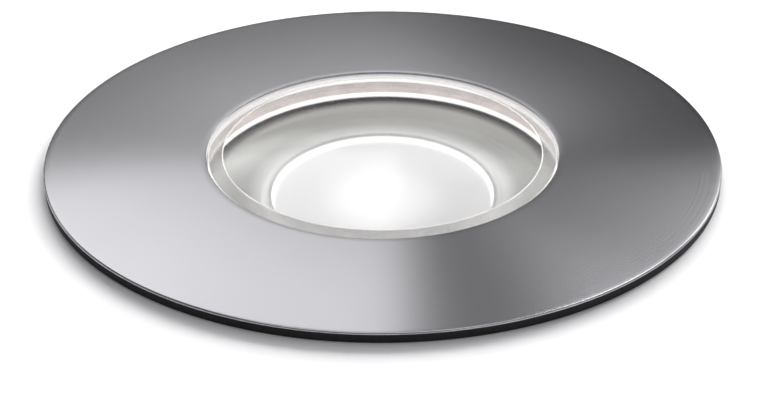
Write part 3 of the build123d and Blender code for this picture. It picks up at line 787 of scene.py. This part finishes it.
def makeGlassLens(spec):
    # a stepped disc with a bevel round its top: its section, turned; each edge has its own finish, of which 0
    # is clear and 1 to 3 are the ground ones in their order
    bevelLow = spec["top"] - spec["bevelDrop"]
    width = spec["upper"] - spec["flat"]
    line = spec["arris"] / width * spec["bevelDrop"]
    corners = [
        (0, spec["bottom"]),
        (spec["seatBore"], spec["bottom"]),
        (spec["flange"] - spec["edgeBreak"], spec["bottom"]),
        (spec["flange"], spec["bottom"] + spec["edgeBreak"]),
        (spec["flange"], spec["step"]),
        (spec["upper"], spec["step"]),
        (spec["upper"], bevelLow),
        (spec["upper"] - spec["arris"], bevelLow + line),
        (spec["flat"] + spec["arris"], spec["top"] - line),
        (spec["flat"], spec["top"]),
        (0, spec["top"]),
    ]
    edgeSlots = [0, 3, 3, 3, 3, 2, 3, 1, 3, 0, 0]
    piece = fit(turnedPiece("glassLens", corners, spec["segments"], edgeSlots), "glass_lens")
    for finish in groundFinishes:
        piece.data.materials.append(finish)
    return piece


reflectorDish = {
    "flange": 33.4,
    "step": 31.9,
    "rim": 31.6,
    "bore": 21.2,
    "ledge": -10.7,
    "rimHeight": -11.3,
    "centre": -13.0,
    "collar": 2.4,
    "sheet": 0.8,
    "hem": 19.85,  # the hem lies on the diffuser's brim
    "hemTop": -12.35,
    "hemUnder": -12.78,
    "hemRoot": 21.6,
    "hemFoot": 0.065,  # how far the hem starts above the cone's lowest height
    "hemSlope": 0.5,
    "edgeRound": 0.1,
    "foldRound": 0.2,
    "rollRound": 0.3,
    "hemRound": 0.18,
    "boreRound": 0.05,
    "arcSteps": 5,
    "segments": 360,
}


def makeReflectorDish(spec):
    # a cone of sheet with a ledge outside, a collar below and a raised hem inside: its section, turned
    sheet = spec["sheet"]
    edge, fold, roll = spec["edgeRound"], spec["foldRound"], spec["rollRound"]
    outer, inner = spec["bore"] + sheet, spec["bore"]
    collarEnd = spec["centre"] - spec["collar"]
    outline = rounded(
        [
            (spec["flange"], spec["ledge"], edge),
            (spec["step"], spec["ledge"], fold),
            (spec["rim"], spec["rimHeight"], fold),
            (spec["hemRoot"], spec["centre"] + spec["hemFoot"], roll),
            (spec["hemRoot"] - spec["hemSlope"], spec["hemTop"], fold),
            (spec["hem"], spec["hemTop"], fold),
            (spec["hem"], spec["hemUnder"], spec["hemRound"]),
            (inner, spec["hemUnder"], spec["boreRound"]),
            (inner, collarEnd, edge),
            (outer, collarEnd, edge),
            (outer, spec["centre"] - sheet, roll),
            (spec["rim"], spec["rimHeight"] - sheet, fold),
            (spec["step"], spec["ledge"] - sheet, fold),
            (spec["flange"], spec["ledge"] - sheet, edge),
        ],
        spec["arcSteps"],
    )
    return fit(turnedPiece("reflectorDish", outline, spec["segments"]), "reflector_dish")


diffuserDisc = {
    "radius": 21.0,
    "top": -12.8,
    "bottom": -15.2,
    "round": 0.3,
    "brim": 19.8,
    "face": 19.2,
    "faceHeight": -13.5,
    "edgeRound": 0.1,
    "wallRound": 0.15,
    "faceRings": (18.0, 15.0, 12.0, 8.0, 4.0),
    "arcSteps": 6,
    "segments": 240,
}


def makeDiffuserDisc(spec):
    # a flat face sunk in a brim with a sloping wall: its section, turned
    outline = rounded(
        [
            (0, spec["bottom"]),
            (spec["radius"], spec["bottom"], spec["edgeRound"]),
            (spec["radius"], spec["top"], spec["round"]),
            (spec["brim"], spec["top"], spec["edgeRound"]),
            (spec["face"], spec["faceHeight"], spec["wallRound"]),
            (0, spec["faceHeight"]),
        ],
        spec["arcSteps"],
    )
    # extra rings across the lit face keep its faces from being long thin wedges
    rings = np.array([(r, spec["faceHeight"]) for r in spec["faceRings"]])
    outline = np.concatenate([outline[:-1], rings, outline[-1:]])
    return fit(turnedPiece("diffuserDisc", outline, spec["segments"]), "diffuser_disc")


sealRings = {
    # name: node, bore, outer radius, lower and upper height, rounding
    "glassTopSeal": ("glass_top_seal", 32.85, 34.0, -3.38, -2.9, 0.12),
    "glassSeatSeal": ("glass_seat_seal", 31.8, 34.0, -10.68, -9.43, 0.2),
}


def makeSealRing(name, node, bore, outer, low, high, soft, arcSteps=4, segments=360):
    # a flat ring with soft corners: its section, turned
    corners = [(bore, low, soft), (outer, low, soft), (outer, high, soft), (bore, high, soft)]
    outline = rounded(corners, arcSteps)
    return fit(turnedPiece(name, outline, segments), node)


gripSprings = {
    "pivot": (39.0, -24.0),  # distance from the lamp's axis, and height
    "touch": (40.85, -33.0),  # where the lower leg presses on the arm
    "upperLeg": 7.5,
    "coil": 2.2,
    "wire": 0.45,
    "turns": 4,
    "width": 3.7,  # from the first turn's middle to the last one's
    "perTurn": 28,  # points of the path in one turn
    "bend": 0.4,  # height above the coil where the upper leg ends
    "leaveShare": 0.05,  # of the lower leg, where its straight part begins
    "around": {"grip_spring_1": 30, "grip_spring_2": 150, "grip_spring_3": 270},  # degrees about the axis
}


def wireMesh(path, size, sides=12):
    # a round wire along a path: point (i, k) is p_i + size * (cos a_k * side_i + sin a_k * across_i), with
    # side_i the part of the coil's axis that is square to the path, and a flat cap at each end
    along = np.gradient(path, axis=0)
    along /= np.linalg.norm(along, axis=1)[:, None]
    axis = np.array([0.0, 1.0, 0.0])
    side = axis - along * (along @ axis)[:, None]
    side /= np.linalg.norm(side, axis=1)[:, None]
    across = np.cross(along, side)
    angle = np.arange(sides) * 2 * np.pi / sides
    ring = np.cos(angle)[None, :, None] * side[:, None] + np.sin(angle)[None, :, None] * across[:, None]
    points = (path[:, None] + size * ring).reshape(-1, 3)
    i, k = np.meshgrid(np.arange(len(path) - 1), np.arange(sides), indexing="ij")
    after = (k + 1) % sides
    corners = [i * sides + k, i * sides + after, (i + 1) * sides + after, (i + 1) * sides + k]
    walls = np.stack(corners, 2).reshape(-1, 4)
    first, last = len(points), len(points) + 1
    k = np.arange(sides)
    after, end = (k + 1) % sides, (len(path) - 1) * sides
    caps = [
        np.stack([after, k, np.full(sides, first), np.full(sides, first)], 1),
        np.stack([end + k, end + after, np.full(sides, last), np.full(sides, last)], 1),
    ]
    return np.concatenate([points, path[[0, -1]]]), np.concatenate([walls, *caps])


def makeGripSpring(spec, node, turn):
    # the wire comes down the upper leg, winds round the pin and leaves on the line that touches the coil and
    # ends at the arm: point (t) of the coil is pivot + coil * (cos t, sin t), and its place along the pin grows
    # with t
    pivot, touch = np.array(spec["pivot"]), np.array(spec["touch"])
    reach = touch - pivot
    leave = math.atan2(reach[1], reach[0]) - math.acos(spec["coil"] / np.hypot(*reach))
    leave = leave % (2 * math.pi) + 2 * math.pi * spec["turns"]
    t = np.linspace(math.pi, leave, spec["perTurn"] * spec["turns"])
    along = (t - math.pi) / (leave - math.pi) * spec["width"] - spec["width"] / 2
    coil = np.stack([pivot[0] + spec["coil"] * np.cos(t), along, pivot[1] + spec["coil"] * np.sin(t)], 1)
    upper = coil[0] + np.array([[0, 0, spec["upperLeg"]], [0, 0, spec["bend"]]])
    lower = np.array([[touch[0], along[-1], touch[1]]])
    near = coil[-1] + spec["leaveShare"] * (lower - coil[-1])
    path = np.concatenate([upper, coil, near, lower])
    points, faces = wireMesh(path, spec["wire"])
    c, s = math.cos(math.radians(turn)), math.sin(math.radians(turn))
    points = points @ np.array([[c, s, 0], [-s, c, 0], [0, 0, 1]]) * mm
    return fit(meshPiece(node.replace("grip_spring_", "gripSpring"), points, faces), node)


made = [makeTrimPlate(trimPlate), makeRimGasket(rimGasket), makeGlassLens(glassLens)]
made += [makeReflectorDish(reflectorDish), makeDiffuserDisc(diffuserDisc)]
made += [makeSealRing(name, *sizes) for name, sizes in sealRings.items()]
made += [makeGripSpring(gripSprings, node, turn) for node, turn in gripSprings["around"].items()]
print("new pieces made:", len(made))


for name, node in nodes.items():
    node.data.materials.clear()
    node.data.materials.append(finishes[slotOf[name]])
print("finishes given to the carried-over nodes")


ground = {"hole": 50.8, "radius": 130.0, "thickness": 2.0, "colour": "#f2f2f2", "segments": 240}
base = {"radius": 3000.0, "level": -105.0, "thickness": 5.0, "colour": "#ececec", "segments": 96}
sky = {
    "horizon": "#f4f4f4",
    "rise": (0.035, 0.07),  # height of direction where the horizon gives way to the room above it
    "fill": "#707076",
    "darkFrom": (0.5, 0.8),  # y of the direction from where the room behind the lamps turns dark
    "darkShare": 0.03,
    "strength": 0.9,
}
lamps = [
    # name, place, aim, width, height, watts, seen in reflections and through glass; places and sizes in metres
    ("leftPanel", (-0.286, 1.3, 1.05), (-0.286, 0, 1.05), 0.627, 0.7, 2.4, True),
    ("middlePanel", (0.238, 1.3, 1.05), (0.238, 0, 1.05), 0.423, 0.7, 0.22, True),
    ("rightPanel", (1.075, 1.3, 1.0), (1.075, 0, 1.0), 1.25, 0.8, 8.0, True),
    ("highPanel", (0.725, 1.3, 1.8), (0.725, 0, 1.8), 0.55, 0.8, 8.8, True),
    ("sidePanel", (1.3, 0, 1.0), (0, 0, 0), 1.0, 0.8, 0.8, True),
    ("overhead", (0, 0, 1.5), (0, 0, 0), 1.2, 1.2, 3.9, True),
    ("farLeftPanel", (-1.45, 1.3, 1.0), (-1.45, 0, 1.0), 0.9, 0.9, 1.4, True),
    ("frontPanel", (1.0, -1.0, 0.5), (0, 0, 0), 1.3, 0.6, 1.5, True),
    ("lowBack", (0.35, 1.5, 0.62), (0, 0, 0), 2.4, 0.7, 80.0, False),  # lights the floor and the matt pieces
]


def floorFinish(name, colour):
    # matt paint: even, with a very faint unevenness
    look = {"dark": colour, "light": colour, "grain": 2.0, "patch": 200.0}
    return grainedFinish(name, {**look, "rough": (0.75, 0.85), "bump": 0.02})


def makeFloor(name, finishName, spec, hole, top):
    # a flat disc or ring with its upper face at this height: its section, turned
    low, radius = top - spec["thickness"], spec["radius"]
    floor = turnedPiece(name, [(hole, low), (radius, low), (radius, top), (hole, top)], spec["segments"])
    floor.data.materials.append(floorFinish(finishName, spec["colour"]))
    return floor


def addLamp(name, place, aim, width, height, watts, inReflections):
    light = bpy.data.lights.new(name, "AREA")
    light.shape, light.size, light.size_y, light.energy = "RECTANGLE", width, height, watts
    lamp = bpy.data.objects.new(name, light)
    bpy.context.scene.collection.objects.link(lamp)
    lamp.location = place
    lamp.rotation_euler = (Vector(aim) - Vector(place)).to_track_quat("-Z", "Y").to_euler()
    lamp.visible_camera = False
    lamp.visible_glossy = lamp.visible_transmission = inReflections


def makeSky(spec):
    # a pale horizon gives way upwards to a grey room, which is dark behind the lamps
    world = bpy.data.worlds.new("sky")
    bpy.context.scene.world = world
    world.use_nodes = True
    tree = world.node_tree
    background = next(n for n in tree.nodes if n.type == "BACKGROUND")
    way = addNode(tree, "ShaderNodeTexCoord").outputs["Generated"]
    parts = addNode(tree, "ShaderNodeSeparateXYZ", {}, {"Vector": way})
    low, high = spec["rise"]
    rise = {"From Min": low, "From Max": high, "interpolation_type": "SMOOTHSTEP"}
    above = addNode(tree, "ShaderNodeMapRange", rise, {"Value": parts.outputs["Z"]})
    near, far = spec["darkFrom"]
    turn = {"From Min": near, "From Max": far, "To Min": 1.0, "To Max": spec["darkShare"]}
    turn["interpolation_type"] = "SMOOTHSTEP"
    share = addNode(tree, "ShaderNodeMapRange", turn, {"Value": parts.outputs["Y"]}).outputs[0]
    fill = addNode(
        tree, "ShaderNodeVectorMath", {"operation": "SCALE", 0: linear(spec["fill"])[:3]}, {"Scale": share}
    )
    both = addNode(
        tree,
        "ShaderNodeMix",
        {"data_type": "RGBA", 6: linear(spec["horizon"])},
        {0: above.outputs[0], 7: fill.outputs[0]},
    )
    tree.links.new(both.outputs[2], background.inputs["Color"])
    background.inputs["Strength"].default_value = spec["strength"]


makeFloor("ground", "groundPaint", ground, ground["hole"], 0)
makeFloor("base", "basePaint", base, 0, base["level"])
for lamp in lamps:
    addLamp(*lamp)
makeSky(sky)
print("floor and lights placed")
